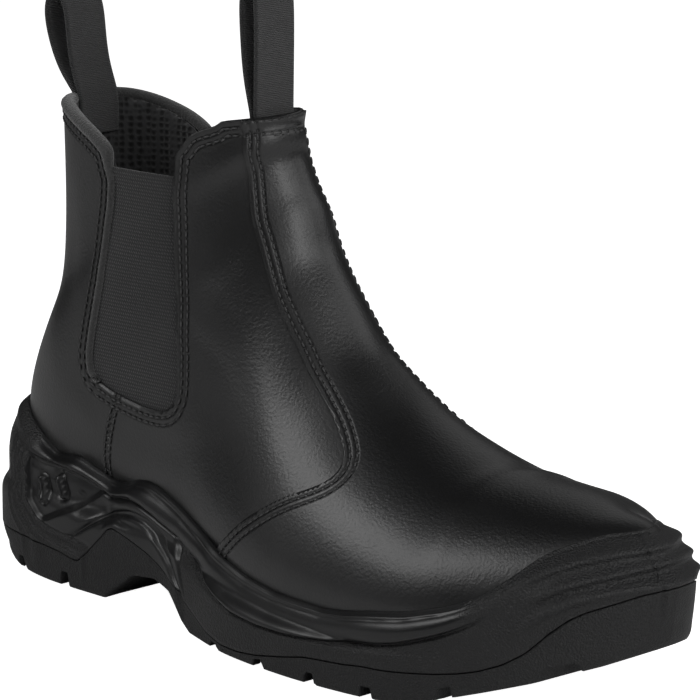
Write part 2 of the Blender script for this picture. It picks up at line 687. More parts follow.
def soft_creases(points):
    """Folds and dents that wear and lasting leave in the hide, as a shift along its normal."""
    x, y, z = 1000.0 * points.T
    outer = smooth_step(-y, -6.0, 10.0)
    depth = np.zeros(len(points))
    # x, z, half length, half width, lean in radians, height in mm
    for cx, cz, long, wide, lean, high in (
        (112, 104, 16, 3.2, -0.45, -0.35), (108, 96, 18, 3.0, -0.30, 0.30),
        (116, 112, 13, 3.2, -0.60, 0.28), (128, 92, 14, 3.6, -0.70, -0.28),
        (93, 58, 26, 7.0, 0.10, -0.5), (44, 120, 6, 26, 0.1, -0.35), (58, 62, 14, 6.0, -0.5, 0.35),
        (150, 76, 18, 9.0, -0.8, 0.35), (132, 60, 24, 12.0, -0.9, -0.35), (36, 90, 8, 22, 0.25, 0.35),
    ):
        u = (x - cx) * math.cos(lean) + (z - cz) * math.sin(lean)
        v = (z - cz) * math.cos(lean) - (x - cx) * math.sin(lean)
        depth += high * outer * bell(u, long) * bell(v, wide)
    inner_toe = smooth_step(x, 250.0, 274.0) * smooth_step(y, 4.0, 24.0) * smooth_step(z, 26.0, 42.0)
    depth -= 1000.0 * INNER_TOE_TRIM * inner_toe
    top = smooth_step(z, 40.0, 58.0)
    shin = x + 0.20 * (z - 60.0)
    depth -= 0.55 * bell(shin - 168.0, 7.0) * smooth_step(z, 84.0, 96.0) * bell(y, 26.0)
    depth += 0.30 * bell(x - 226.0 - 0.004 * y * y, 3.2) * top
    depth -= 0.25 * bell(x - 217.0 - 0.004 * y * y, 5.0) * top
    front = bell(y + 2.0, 11.0) * smooth_step(x, 100.0, 112.0)
    depth += front * (0.35 * bell(z - 134.0, 5.0) - 0.5 * bell(z - 146.0, 5.0))
    return 0.001 * depth


def stretch(sheet, lift, runs):
    """Put a cut sheet on the last, with its creases and the runs of its seams."""
    plain = on_last(sheet)
    normals = last_normals(chart_places(get_points(sheet)[:, 0]), np.pi * get_points(sheet)[:, 1])
    for name, line in runs:
        keep_run(sheet, name, line, plain)
    set_points(sheet, plain + normals * (lift + soft_creases(plain))[:, None])
    weld(sheet, 0.00003)
    turned = sum(f.normal.dot(f.center - Vector((0.14, 0.0, 0.07))) * f.area for f in sheet.data.polygons)
    if turned < 0.0:
        sheet.data.flip_normals()


quarters = pattern_sheet("quarters", 250, 230)
cut_away(quarters, in_collar_hole)
cut_away(quarters, below_sole_edge)
rim_line = border_run(quarters, lambda p: p[:, 2] > 0.062)
cut_away(quarters, lambda p: on_vamp(p) - 0.009)
side_seam_outer = np.array([
    (0.0735, -0.035, 0.0655), (0.0705, -0.035, 0.057), (0.068, -0.035, 0.048), (0.066, -0.035, 0.038),
])
side_seam_inner = side_seam_outer * (1.0, -1.0, 1.0)

last_form = pattern_sheet("last_form", 240, 200)
last_form_points = on_last(last_form)
last_tree = BVHTree.FromPolygons(
    [tuple(p) for p in last_form_points], [tuple(f.vertices) for f in last_form.data.polygons]
)
bpy.data.objects.remove(last_form)


def pull_to_last(points):
    """Nearest points on the last, and the directions out of it."""
    spots = []
    ways = []
    for point in points:
        spot, way, _, _ = last_tree.find_nearest(Vector(point))
        middle = Vector((min(max(spot.x, 0.06), 0.25), 0.0, 0.05 if spot.z < 0.07 else spot.z))
        ways.append(way if way.dot(spot - middle) > 0.0 else -way)
        spots.append(spot)
    return np.array([tuple(p) for p in spots]), np.array([tuple(w) for w in ways])


side_runs = [pull_to_last(even_run(line, RUN_STEP))[0] for line in (side_seam_outer, side_seam_inner)]
seam_runs = [("rim_run", rim_line), ("outer_seam_run", side_runs[0]), ("inner_seam_run", side_runs[1])]
stretch(quarters, 0.0, seam_runs)
use_modifier(quarters, "SOLIDIFY", thickness=HIDE_THICKNESS, offset=-1.0, material_offset_rim=1)
quarter_leather = leather_finish("quarter_leather", (
    ("rim_run", *RIM_ROWS), ("outer_seam_run", NO_ROW, SIDE_ROW), ("inner_seam_run", NO_ROW, SIDE_ROW),
))
finish_piece(quarters, (quarter_leather, raw_edge), "leather", "upper")

# The vamp. It runs from the toe over the instep up to the collar and lies over the quarters,
# with a raw skived edge and two rows of thread inside it.
vamp = pattern_sheet("vamp", 270, 230)
cut_away(vamp, in_collar_hole)
cut_away(vamp, below_sole_edge)
cut_away(vamp, lambda p: -on_vamp(p))
def on_vamp_edge(points, side):
    """Whether points lie on the vamp's cut edge, on one side of the foot."""
    close = np.abs(on_vamp(points)) < 0.00012
    return close & (points[:, 2] > 0.016) & (side * points[:, 1] > -0.002)


vamp_edges = [border_run(vamp, lambda p: on_vamp_edge(p, side)) for side in (-1.0, 1.0)]
vamp_runs = [("rim_run", rim_line), ("outer_edge_run", vamp_edges[0]), ("inner_edge_run", vamp_edges[1])]
stretch(vamp, VAMP_LIFT, vamp_runs)
use_modifier(vamp, "SOLIDIFY", thickness=VAMP_LIFT + 0.0004, offset=-1.0, material_offset_rim=1)
vamp_leather = leather_finish("vamp_leather", (
    ("rim_run", RIM_ROWS[1], 0.0), ("outer_edge_run", *VAMP_ROWS), ("inner_edge_run", *VAMP_ROWS),
))
finish_piece(vamp, (vamp_leather, raw_edge), "leather")

# The elastic gores. Woven black elastic let into each side behind the hide; its ribs lie level,
# with a fainter twill across them.
def in_gore(points, inset):
    return inside_outline(shaft_x(points), points[:, 2], gore_line) - inset


elastic, elastic_tree, elastic_shader = new_finish("woven_elastic", 0.82, sheen=0.25, specular=0.3)
elastic_place = place_node(elastic_tree)
aslant = elastic_tree.nodes.new("ShaderNodeMapping")
aslant.inputs["Rotation"].default_value = (0.0, math.radians(38.0), 0.0)
elastic_tree.links.new(elastic_place, aslant.inputs["Vector"])
twill = texture(
    elastic_tree, "Wave", aslant.outputs[0], Scale=360.0, Distortion=1.2, Detail=1.0, Detail_Scale=3.0
)
twill.bands_direction = "X"
ribs = texture(elastic_tree, "Wave", elastic_place, Scale=260.0)
ribs.bands_direction = "Z"
fuzz = texture(elastic_tree, "Noise", elastic_place, Scale=2600.0)
weave = math_node(elastic_tree, "MULTIPLY", twill.outputs["Fac"], ribs.outputs["Fac"])
weave = math_node(elastic_tree, "ADD", weave, math_node(elastic_tree, "MULTIPLY", fuzz.outputs[0], 0.6))
elastic_tree.links.new(
    colour_blend(elastic_tree, weave, (0.009, 0.009, 0.0095), (0.034, 0.034, 0.035)),
    elastic_shader.inputs["Base Color"],
)
bump_chain(elastic_tree, elastic_shader, [(weave, 0.0002)])

GORE_TOP = 0.1505
for side, node in ((-1.0, "gore_lateral"), (1.0, "gore_medial")):
    gore = pattern_sheet(node + "_elastic", 300, 260)
    cut_away(gore, lambda p: -side * (p[:, 1] + 0.003))
    cut_away(gore, lambda p: -in_gore(p, -0.004))
    cut_away(gore, lambda p: p[:, 2] - GORE_TOP)
    stretch(gore, -0.0011, [])
    use_modifier(gore, "SOLIDIFY", thickness=0.0012, offset=-1.0)
    finish_piece(gore, (elastic,), "elastic", node)


# Sweeping. The felt roll and the webbing are strips carried along a line on the last.
def sweep(name, line, ways, profile, taper=1.0):
    """Strip with a closed profile of (out, across) pairs, carried along a line."""
    along = ways_along(line)
    across = unit(np.cross(along, ways))
    out = np.cross(across, along)
    size = np.ones(len(line)) * taper
    rings = [line + (p * size)[:, None] * out + (q * size)[:, None] * across for p, q in profile]
    strip = net(name, np.stack(rings + rings[:1], axis=1))
    bpy.ops.object.mode_set(mode="EDIT")
    bpy.ops.mesh.select_all(action="SELECT")
    bpy.ops.mesh.remove_doubles(threshold=0.00002)
    bpy.ops.mesh.select_all(action="DESELECT")
    bpy.ops.mesh.select_non_manifold(extend=False)
    bpy.ops.mesh.edge_face_add()
    bpy.ops.mesh.select_all(action="SELECT")
    bpy.ops.mesh.normals_make_consistent(inside=False)
    bpy.ops.object.mode_set(mode="OBJECT")
    return strip


# The collar. Behind the gores its edge is a padded roll of dark grey felt, which runs down
# beside the elastic as a narrow strip.
FELT_REACH = 0.0054
FELT_THICKNESS = 0.0040
FELT_LIFT = 0.0009
felt = flecked_finish(
    "collar_felt", 0.95, 1500.0, (0.018, 0.018, 0.018), (0.085, 0.085, 0.085), 0.0005,
    detail=5.0, sheen=0.5, specular=0.2,
)
fold = [math.tau * k / 14 for k in range(14)]
felt_profile = [(FELT_REACH * (0.5 * math.cos(t) - 0.5), FELT_THICKNESS * 0.5 * math.sin(t)) for t in fold]
rim_ways = pull_to_last(rim_line)[1]
back_part = (rim_line[:, 2] >= 0.076) & (shaft_x(rim_line) < 0.0745)
start = int(np.argmax(~back_part & np.roll(back_part, -1)))
ordered = np.roll(np.arange(len(rim_line) - 1), -start - 1)
back_index = [i for i in ordered if back_part[i]][::2]
felt_line = rim_line[back_index]
felt_ways = rim_ways[back_index]
felt_size = 0.55 + 0.45 * smooth_step(felt_line[:, 2], 0.146, 0.158)
ends = np.minimum(np.arange(len(felt_line)), np.arange(len(felt_line))[::-1])
felt_size *= smooth_step(ends.astype(float), -2.0, 14.0)
felt_roll = sweep("collar_felt_roll", felt_line + FELT_LIFT * felt_ways, felt_ways, felt_profile, felt_size)
finish_piece(felt_roll, (felt,), "leather")

# The lining. Black spacer mesh with a honeycomb of small holes, glued inside the shaft and
# padded under the back of the collar.
mesh_cloth, mesh_tree, mesh_shader = new_finish("honeycomb_mesh", 0.75, sheen=0.3, specular=0.3)
comb = texture(mesh_tree, "Voronoi", place_node(mesh_tree), Scale=430.0, Randomness=0.25)
comb_share = soft_range(mesh_tree, comb.outputs["Distance"], 0.15, 0.62)
mesh_tree.links.new(
    colour_blend(mesh_tree, comb_share, (0.006, 0.006, 0.006), (0.036, 0.036, 0.037)),
    mesh_shader.inputs["Base Color"],
)
bump_chain(mesh_tree, mesh_shader, [(comb_share, 0.0006)])
lining = pattern_sheet("mesh_lining", 130, 150)
# the lining's top edge passes straight across above the elastic
lining_hole = collar_hole[:24] + [(0.07, 0.151), (0.098, 0.151)] + collar_hole[-23:]
cut_away(lining, lambda p: inside_outline(shaft_x(p), p[:, 2], lining_hole) + 0.0012)
cut_away(lining, lambda p: 0.034 - p[:, 2])
lining_plain = on_last(lining)
lining_way = last_normals(chart_places(get_points(lining)[:, 0]), np.pi * get_points(lining)[:, 1])
pad = smooth_step(lining_plain[:, 2], 0.118, 0.135) * smooth_step(-lining_plain[:, 0], -0.085, -0.060)
pad *= 1.0 - 0.6 * smooth_step(lining_plain[:, 2], 0.155, 0.168)
set_points(lining, lining_plain - lining_way * (0.0029 + 0.0022 * pad)[:, None])
use_modifier(lining, "SOLIDIFY", thickness=0.0006, offset=0.0)
finish_piece(lining, (mesh_cloth,), "elastic")

# The footbed. A cut sheet of dark cloth over thin foam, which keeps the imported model's shape.
cloth = flecked_finish(
    "footbed_cloth", 0.92, 1400.0, (0.02, 0.02, 0.021), (0.07, 0.07, 0.072), 0.0003, sheen=0.2
)
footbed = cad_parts["insole"]
footbed.data.materials.clear()
footbed.data.materials.append(cloth)

# The pull loops. Black ribbed webbing, 18 mm wide and 1.6 mm thick, folded over with both ends
# sewn down inside the collar, one at the back seam and one at the front.
LOOP_WIDTH = 0.018
LOOP_STRAP = 0.0016
LOOP_OPENING = 0.011
LOOP_TUCK = 0.013
LOOP_STEP = 0.0006
# place in and up: in shares of the opening, up in shares of the rise or, below 0, of the tuck
BACK_LOOP = (
    (0.00, -1.00), (0.00, -0.30), (-0.08, 0.06), (-0.36, 0.28), (-0.54, 0.53), (-0.65, 0.78),
    (-0.86, 0.94), (-1.18, 1.00), (-1.48, 0.93), (-1.60, 0.77), (-1.40, 0.52), (-0.88, 0.24),
    (-0.23, 0.03), (-0.155, -0.30), (-0.155, -1.00),
)
FRONT_LOOP = (
    (0.00, -1.00), (0.00, -0.30), (0.01, 0.05), (0.03, 0.30), (0.05, 0.60), (0.02, 0.85),
    (-0.12, 0.96), (-0.30, 1.00), (-0.48, 0.95), (-0.59, 0.82), (-0.56, 0.58), (-0.42, 0.28),
    (-0.18, 0.04), (-0.155, -0.30), (-0.155, -1.00),
)
RIB_SPACING = 0.00125
YARN_SPACING = 0.0007


def woven_ridges(tree, run, spacing):
    """Round ridges across a run; gives their height."""
    turns = math_node(tree, "MULTIPLY", run, 2.0 * math.pi / spacing)
    return math_node(tree, "ABSOLUTE", math_node(tree, "SINE", turns))


webbing, web_tree, web_shader = new_finish("ribbed_webbing", 0.68, sheen=0.25, specular=0.35)
web_run = web_tree.nodes.new("ShaderNodeSeparateXYZ")
web_tree.links.new(attribute_node(web_tree, "web_run").outputs["Vector"], web_run.inputs[0])
yarn = math_node(web_tree, "MULTIPLY", woven_ridges(web_tree, web_run.outputs[1], YARN_SPACING), 0.25)
rib_height = math_node(web_tree, "ADD", woven_ridges(web_tree, web_run.outputs[0], RIB_SPACING), yarn)
rib_share = soft_range(web_tree, rib_height, 0.2, 1.1)
web_tree.links.new(
    colour_blend(web_tree, rib_share, (0.004, 0.004, 0.004), (0.030, 0.030, 0.031)),
    web_shader.inputs["Base Color"],
)
bump_chain(web_tree, web_shader, [(rib_height, 0.0004)])
edge = 0.5 * LOOP_WIDTH
half = 0.5 * LOOP_STRAP
# place across the webbing and share of its thickness there: the selvedges are a little fuller
across_steps = [(-edge, 0.0), (-edge + 0.0002, 0.7), (-edge + 0.0007, 1.0), (-edge + 0.0016, 0.9)]
across_steps += [(v, 0.86) for v in np.linspace(-edge + 0.0026, edge - 0.0026, 9)]
across_steps += [(-v, w) for v, w in across_steps[3::-1]]
strap_profile = [(half * w, v) for v, w in across_steps]
strap_profile += [(-half * w, v) for v, w in across_steps[-2:0:-1]]
for node, table, rise in (("pull_loop_back", BACK_LOOP, 0.037), ("pull_loop_front", FRONT_LOOP, 0.046)):
    low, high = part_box(node)
    path = np.array(table)
    path *= np.stack([0.0 * path[:, 0] + LOOP_OPENING, np.where(path[:, 1] < 0.0, LOOP_TUCK, rise)], axis=1)
    fine_path = spline(path, np.linspace(0, len(path) - 1, 400))
    line = even_run(np.stack([fine_path[:, 0], 0.0 * fine_path[:, 0], fine_path[:, 1]], axis=1), LOOP_STEP)
    along = ways_along(line)
    thick = np.stack([-along[:, 2], 0.0 * along[:, 0], along[:, 0]], axis=1)
    strap = sweep(node + "_webbing", line, thick, strap_profile)
    points = get_points(strap)
    run_tree = search_tree(line)
    values = [(run_tree.find((p[0], 0.0, p[2]))[1] * LOOP_STEP, p[1], 0.0) for p in points]
    keep_values(strap, "web_run", np.array(values))
    points -= 0.5 * (points.min(axis=0) + points.max(axis=0))
    set_points(strap, points + np.array(0.5 * (low + high) - LAST_ORIGIN))
    finish_piece(strap, (webbing,), "webbing", node)


# The thread. Thick black polyester, laid in twin rows along the edges of the hide and singly
# under the collar of the vamp; each stitch is a short bulge between two needle holes.
STITCH_PITCH = 0.0028
THREAD_SIZE = (0.0022, 0.00072, 0.00066)
THREAD_LIFT = 0.00020


def skin_of(thing):
    """Search tree over a finished sheet, in the last's own place."""
    points = [tuple(v.co - LAST_ORIGIN) for v in thing.data.vertices]
    return BVHTree.FromPolygons(points, [tuple(f.vertices) for f in thing.data.polygons])


def stitch_places(line, reaches, keep, inside, skin):
    """Places, ways along and ways out for the stitches of the rows beside a line."""
    run = np.linalg.norm(line[1] - line[0])
    steps = np.arange(0, len(line) - 1, STITCH_PITCH / run)
    index = np.minimum(np.round(steps).astype(int), len(line) - 2)
    along = ways_along(line)[index]
    spots, ways = pull_to_last(line[index])
    across = unit(np.cross(ways, along))
    side = 1.0
    if inside is not None:
        inner = inside(spots + 0.002 * across) >= inside(spots - 0.002 * across)
        side = np.where(inner, 1.0, -1.0)[:, None]
    found = []
    for reach in reaches:
        place = spots + reach * side * across
        for k in np.nonzero(keep(place))[0]:
            hit = skin.ray_cast(Vector(place[k] + 0.012 * ways[k]), Vector(-ways[k]), 0.02)
            if hit[0] is not None:
                found.append((np.array(hit[0]), along[k], ways[k]))
    return found


def thread_seam(name, found):
    """One piece of thread for a seam, from one stitch copied to each of its places."""
    bpy.ops.object.select_all(action="DESELECT")
    bpy.ops.mesh.primitive_uv_sphere_add(segments=8, ring_count=5, radius=0.5)
    stitch = bpy.context.object
    bpy.ops.object.mode_set(mode="EDIT")
    bpy.ops.transform.resize(value=THREAD_SIZE)
    bpy.ops.object.mode_set(mode="OBJECT")
    stitches = []
    for spot, along, out in found:
        side = np.cross(out, along)
        side /= np.linalg.norm(side)
        out = np.cross(along, side)
        turn = Matrix((along, side, out)).transposed().to_4x4()
        copy = stitch.copy()
        copy.data = stitch.data.copy()
        copy.data.transform(Matrix.Translation(spot + THREAD_LIFT * out) @ turn)
        bpy.context.scene.collection.objects.link(copy)
        stitches.append(copy)
    bpy.data.objects.remove(stitch)
    bpy.ops.object.select_all(action="DESELECT")
    for copy in stitches:
        copy.select_set(True)
    bpy.context.view_layer.objects.active = stitches[0]
    bpy.ops.object.join()
    seam = bpy.context.object
    seam.name = name
    finish_piece(seam, (thread,), "leather")


thread = flecked_finish(
    "black_thread", 0.55, 2600.0, (0.022, 0.022, 0.022), (0.080, 0.080, 0.081), 0.0001
)


def above_sole(points):
    return points[:, 2] > line_height(SOLE_EDGE, points[:, 0]) + 0.0012


quarter_skin = skin_of(quarters)
vamp_skin = skin_of(vamp)
def off_collar(points):
    return -in_collar_hole(points)


def clear_of_collar(points, gap):
    return off_collar(points) > gap


rim_found = stitch_places(
    rim_line, RIM_ROWS,
    lambda p: (on_vamp(p) < -0.0006) & clear_of_collar(p, 0.0010), off_collar, quarter_skin,
)
thread_seam("quarter_edge_thread", rim_found)
collar_found = stitch_places(
    rim_line, RIM_ROWS[1:],
    lambda p: (on_vamp(p) > 0.0045) & clear_of_collar(p, 0.0010), off_collar, vamp_skin,
)
vamp_found = []
for edge in vamp_edges:
    vamp_found += stitch_places(
        edge, VAMP_ROWS, lambda p: above_sole(p) & clear_of_collar(p, 0.0040), on_vamp, vamp_skin
    )
thread_seam("vamp_edge_thread", vamp_found + collar_found)
side_found = []
for run in side_runs:
    side_found += stitch_places(
        run, (-SIDE_ROW, SIDE_ROW), lambda p: above_sole(p) & clear_of_collar(p, 0.0055), None, quarter_skin
    )
thread_seam("side_seam_thread", side_found)

# The sole's sidewall. Black foam moulded straight on to the leather: a smooth roll along the
# edge, two swept bands and a window at the heel, sand-textured faces elsewhere.
SOLE_PLAN = (
    # station, outer, inner
    (-0.015, 0.000, 0.000), (-0.009, -0.145, 0.130), (0.012, -0.255, 0.238), (0.062, -0.340, 0.322),
    (0.150, -0.373, 0.356), (0.233, -0.375, 0.347), (0.333, -0.380, 0.306), (0.383, -0.412, 0.301),
    (0.433, -0.458, 0.310), (0.483, -0.500, 0.333), (0.533, -0.523, 0.366), (0.583, -0.532, 0.398),
    (0.633, -0.532, 0.431), (0.717, -0.509, 0.463), (0.800, -0.447, 0.450), (0.873, -0.356, 0.385),
    (0.930, -0.240, 0.295), (0.963, -0.140, 0.205), (0.983, -0.040, 0.120), (0.990, 0.035, 0.035),
)
SEAT_LINE = (
    (-6, 31.0), (24, 30.9), (60, 30.1), (96, 28.3), (124, 25.6), (149, 22.1), (172, 19.5), (193, 17.9),
    (213, 17.5), (229, 18.0), (245, 19.4), (260, 21.6), (272, 24.0), (281, 26.6), (287, 29.5), (309, 35.0),
)
ROLL_FOOT = (
    (-6, 51.5), (3, 51), (14, 47.5), (26, 43.6), (38, 42.0), (44, 41.8), (50, 41.6), (57, 40.4),
    (65, 38.1), (72, 35.6), (78, 36.9), (84, 37.8), (91, 37.0), (97, 35.4), (102, 33.6), (108, 31.7),
    (113, 30.4), (119, 27.7), (128, 24.2), (136, 20.9), (144, 18.6), (155, 15.9), (168, 14.8),
    (179, 14.8), (189, 15.2), (199, 15.9), (207, 17.0), (220, 18.7), (227, 20.2), (232, 21.9),
    (237, 23.6), (242, 25.5), (247, 27.8), (253, 31.0), (262, 37.5), (272, 45.0), (282, 49.0),
    (300, 51.5),
)
PARTING = (
    (-6, 14.0), (28, 13.8), (38, 13.3), (49, 12.4), (56, 11.1), (59, 10.9), (62, 13.1), (67, 17.6),
    (73, 23.2), (75, 25.6), (78, 26.6), (84, 25.1), (90, 23.4), (97, 21.2), (104, 18.3), (111, 14.8),
    (116, 12.4), (122, 10.6), (128, 8.4), (138, 4.8), (148, 3.2), (158, 3.4), (167, 4.4), (181, 7.1),
    (190, 9.0), (196, 9.5), (207, 10.1), (214, 10.8), (223, 10.9), (232, 11.6), (240, 12.5),
    (248, 13.8), (254, 15.3), (261, 18.2), (267, 22.2), (270, 25.4), (273, 29.0), (278, 33.8),
    (282, 36.4), (288, 39.0), (293, 41.4), (300, 43.2),
)
WINDOW_FOOT = (
    (20, 80.0), (25.4, 60.0), (26, 43.1), (27, 35.6), (28, 32.7), (30, 27.6), (34, 24.4),
    (37, 21.9), (44, 20.1), (52, 19.1), (58, 18.2), (64, 17.3), (70, 10.0), (80, 0.0),
)
BAND_1_TOP = (
    (30, 15.0), (40, 21.8), (47, 24.9), (54, 27.9), (59, 31.0), (64, 34.1), (68, 37.0), (74, 45.0),
    (320, 60.0),
)
BAND_1_FOOT = (
    (30, 19.0), (50, 18.6), (56, 19.5), (61, 23.2), (67, 27.5), (74, 30.9), (78, 32.3), (83, 33.6),
    (89, 33.8), (95, 32.9), (101, 30.8), (105, 27.8), (110, 23.1), (114, 18.5), (119, 13.6), (126, 5.0),
)
BAND_2_TOP = (
    (30, 10.0), (50, 14.5), (57, 19.0), (63, 22.6), (69, 26.0), (74, 28.6), (80, 30.4), (86, 31.0),
    (92, 30.3), (97, 28.2), (102, 24.5), (108, 19.8), (112, 15.1), (116, 11.7), (124, 4.0),
)
NOTCH = (
    (124.0, 2.0), (122.0, 11.8), (121.0, 14.3), (118.0, 19.5), (116.0, 23.5), (112.0, 27.7),
    (109.0, 31.5), (107.5, 34.0),
)
TOE_RIDGES = (
    # start x, then x and height of the crest
    (260.0, ((255, 37.0), (262, 42.0), (266, 44.8), (271, 47.8), (280, 51.4), (290, 53.6), (300, 54.4))),
    (264.0, ((255, 28.0), (262, 34.5), (267, 39.0), (276, 44.4), (284, 46.8), (292, 48.6), (300, 49.6))),
    (260.0, (
        (255, 19.0), (262, 26.0), (267, 31.2), (272, 35.6), (279, 39.8), (285, 42.0), (291, 43.6),
        (300, 45.0),
    )),
)
REACH_LEVELS = (0.0, 0.25, 0.45, 0.65, 0.85, 1.0)
WALL_REACH = (
    # station, then reach off the leather in millimetres at each level down the wall
    (-0.02, 2.1, 7.2, 10.5, 13.5, 19.0, 26.0), (0.060, 1.9, 9.2, 13.2, 15.0, 18.0, 24.0),
    (0.120, 1.9, 10.0, 14.0, 15.0, 16.0, 20.0), (0.190, 1.8, 9.0, 12.8, 13.8, 14.5, 17.0),
    (0.270, 1.7, 5.8, 9.2, 11.0, 12.0, 15.0), (0.360, 1.7, 4.8, 7.4, 9.5, 11.0, 15.0),
    (0.450, 1.7, 4.3, 6.3, 7.6, 10.0, 14.0),
    (0.860, 1.7, 4.3, 6.3, 7.6, 10.0, 14.0), (0.930, 1.0, 2.0, 2.8, 3.4, 5.2, 10.5),
    (1.000, 0.7, 1.1, 1.6, 2.0, 4.2, 9.5),
)
STATION_GAP = 0.00085
plan_fine = spline(SOLE_PLAN, np.linspace(0.0, len(SOLE_PLAN) - 1.0, 3000))
plan_fine *= (SOLE_LENGTH, BALL_WIDTH, BALL_WIDTH)
plan_loop = np.concatenate([plan_fine[:, (0, 1)], plan_fine[-2:0:-1][:, (0, 2)], plan_fine[:1, (0, 1)]])
plan_loop = np.column_stack([plan_loop, 0.0 * plan_loop[:, 0]])
plan_loop = even_run(plan_loop, STATION_GAP)[:-1, :2]
plan_along = unit(np.roll(plan_loop, -2, axis=0) - np.roll(plan_loop, 2, axis=0))
plan_out = np.column_stack([plan_along[:, 1], -plan_along[:, 0]])
stations = len(plan_loop)
round_run = np.arange(stations) * STATION_GAP
heel_run = np.minimum(round_run, stations * STATION_GAP - round_run)


def around_mean(values, reach):
    """Soften values from station to station round the sole."""
    total = sum(np.roll(values, k, axis=0) for k in range(-reach, reach + 1))
    return total / (2 * reach + 1)


WALL_ROWS = 84
RAY_START = 0.12
SOFT_LIMIT = 0.0012
x_plan = plan_loop[:, 0]
edge_z = around_mean(line_height(SOLE_EDGE, x_plan), 2)
parting_z = around_mean(line_height(PARTING, x_plan), 1)
seat_z = line_height(SEAT_LINE, x_plan)
levels = np.linspace(0.0, 1.0, 9)
level_z = edge_z[:, None] - levels * (edge_z - parting_z)[:, None]
leather_in = np.zeros(level_z.shape)
for i in range(stations):
    way = Vector((*plan_out[i], 0.0))
    for k in range(len(levels)):
        start = Vector((*plan_loop[i], max(level_z[i, k], seat_z[i] + 0.002))) + RAY_START * way
        hit = last_tree.ray_cast(start, -way)
        leather_in[i, k] = hit[3] - RAY_START if hit[0] is not None else leather_in[i, k - 1]
leather_in -= (VAMP_LIFT * smooth_step(x_plan, 0.124, 0.136))[:, None]
inner_toe = smooth_step(x_plan, 0.250, 0.274) * smooth_step(plan_loop[:, 1], 0.004, 0.024)
leather_in += INNER_TOE_TRIM * inner_toe[:, None] * smooth_step(level_z, 0.026, 0.042)
leather_in = around_mean(leather_in, 2)
rows_down = np.linspace(0.0, 1.0, WALL_ROWS)
wall_leather = np.array([np.interp(rows_down, levels, row) for row in leather_in])
reach_places, *reach_columns = np.array(WALL_REACH).T
reach_lines = np.stack([np.interp(x_plan / SOLE_LENGTH, reach_places, c) for c in reach_columns], axis=1)
wall_reach = 0.001 * np.array([np.interp(rows_down, REACH_LEVELS, row) for row in reach_lines])
wall_z = edge_z[:, None] - rows_down[None, :] * (edge_z - parting_z)[:, None]
low_down = 1.2 * np.clip(seat_z[:, None] - wall_z, 0.0, None)
wall_in = wall_leather - wall_reach - low_down
wall_in = 0.5 * (wall_in + np.sqrt(wall_in ** 2 + SOFT_LIMIT ** 2))
wall_in = around_mean(np.minimum.accumulate(wall_in, axis=1), 3)
for _ in range(12):
    wall_in[:, 1:-1] = 0.25 * wall_in[:, :-2] + 0.5 * wall_in[:, 1:-1] + 0.25 * wall_in[:, 2:]

# The relief: millimetres out of the wall, by place in the side view
wx = 1000.0 * np.repeat(x_plan[:, None], WALL_ROWS, axis=1)
wz = 1000.0 * wall_z
wy = 1000.0 * np.repeat(plan_loop[:, 1:2], WALL_ROWS, axis=1)
x_mm = 1000.0 * x_plan


def line_at(line):
    table = np.array(line, float)
    return np.interp(x_mm, table[:, 0], table[:, 1])


def above_line(line):
    """Distance above a table line, square to its slope, in millimetres."""
    height = around_mean(line_at(line), 1)
    slope = np.abs(np.roll(height, -1) - np.roll(height, 1)) / 1.7
    return (wz - height[:, None]) / np.sqrt(1.0 + np.minimum(slope, 4.0) ** 2)[:, None]


def hump(distance, half):
    """Round ridge with its crest at 0."""
    return np.sqrt(np.clip(1.0 - (distance / half) ** 2, 0.0, 1.0))


over_roll = above_line(ROLL_FOOT)
under_edge = -above_line(SOLE_EDGE)
roll_share = np.clip(over_roll / np.maximum(over_roll + under_edge, 0.1), 0.0, 1.0)
roll_fade = smooth_step(wx, 18.0, 40.0) * (1.0 - smooth_step(wx, 238.0, 262.0))
relief = roll_fade * 1.9 * hump(roll_share - 0.42, 0.42)
relief += roll_fade * 0.7 * smooth_step(roll_share, 0.80, 0.86)
relief -= roll_fade * 0.9 * bell(over_roll + 0.5, 0.55)
relief += 0.9 * (1.0 - roll_fade) * bell(under_edge - 2.4, 2.2)

# The waist: a window at the heel, and two bands with a channel between them
notch_table = np.array(NOTCH)
behind_notch = (np.interp(wz, notch_table[:, 1], notch_table[:, 0]) - wx) * 0.8
over_window = above_line(WINDOW_FOOT)
over_1_top = above_line(BAND_1_TOP)
over_1_foot = above_line(BAND_1_FOOT)
over_2_top = above_line(BAND_2_TOP)
over_parting = above_line(PARTING)
window = np.minimum.reduce([-over_roll - 0.6, over_window, over_1_top])
window[(wx < 24.0) | (wx > 76.0)] = -5.0
band_1 = np.minimum.reduce([-over_roll - 0.6, -over_1_top, over_1_foot, behind_notch, over_window])
band_2 = np.minimum.reduce([-over_2_top, over_parting + 1.0, behind_notch, over_window - 0.5])
channel = np.minimum.reduce([-over_1_foot, over_2_top, behind_notch, over_window])
waist_zone = smooth_step(np.maximum.reduce([band_1, band_2, channel, window]), -0.3, 0.3)
relief -= 1.5 * smooth_step(window, 0.0, 1.3)
relief += 0.35 * smooth_step(band_1, 0.0, 1.2) + 0.30 * smooth_step(band_2, 0.0, 1.2)
relief -= 1.3 * smooth_step(channel, -0.25, 0.9)
groove = smooth_step(wx, 38.0, 42.0) * (1.0 - smooth_step(wx, 66.0, 72.0))
relief -= 0.8 * bell(over_1_top, 0.5) * groove * smooth_step(-over_roll, 0.0, 1.0)
wedge_wide = 0.35 + 1.3 * np.clip((wz - 13.0) / 18.0, 0.0, 1.0) * np.clip((33.0 - wz) / 4.0, 0.0, 1.0)
wedge = np.minimum(-behind_notch, wedge_wide + behind_notch)
wedge_share = smooth_step(-over_roll, 0.2, 1.0) * smooth_step(wz, 10.0, 13.0)
relief -= 0.8 * smooth_step(wedge, -0.35, 0.35) * wedge_share
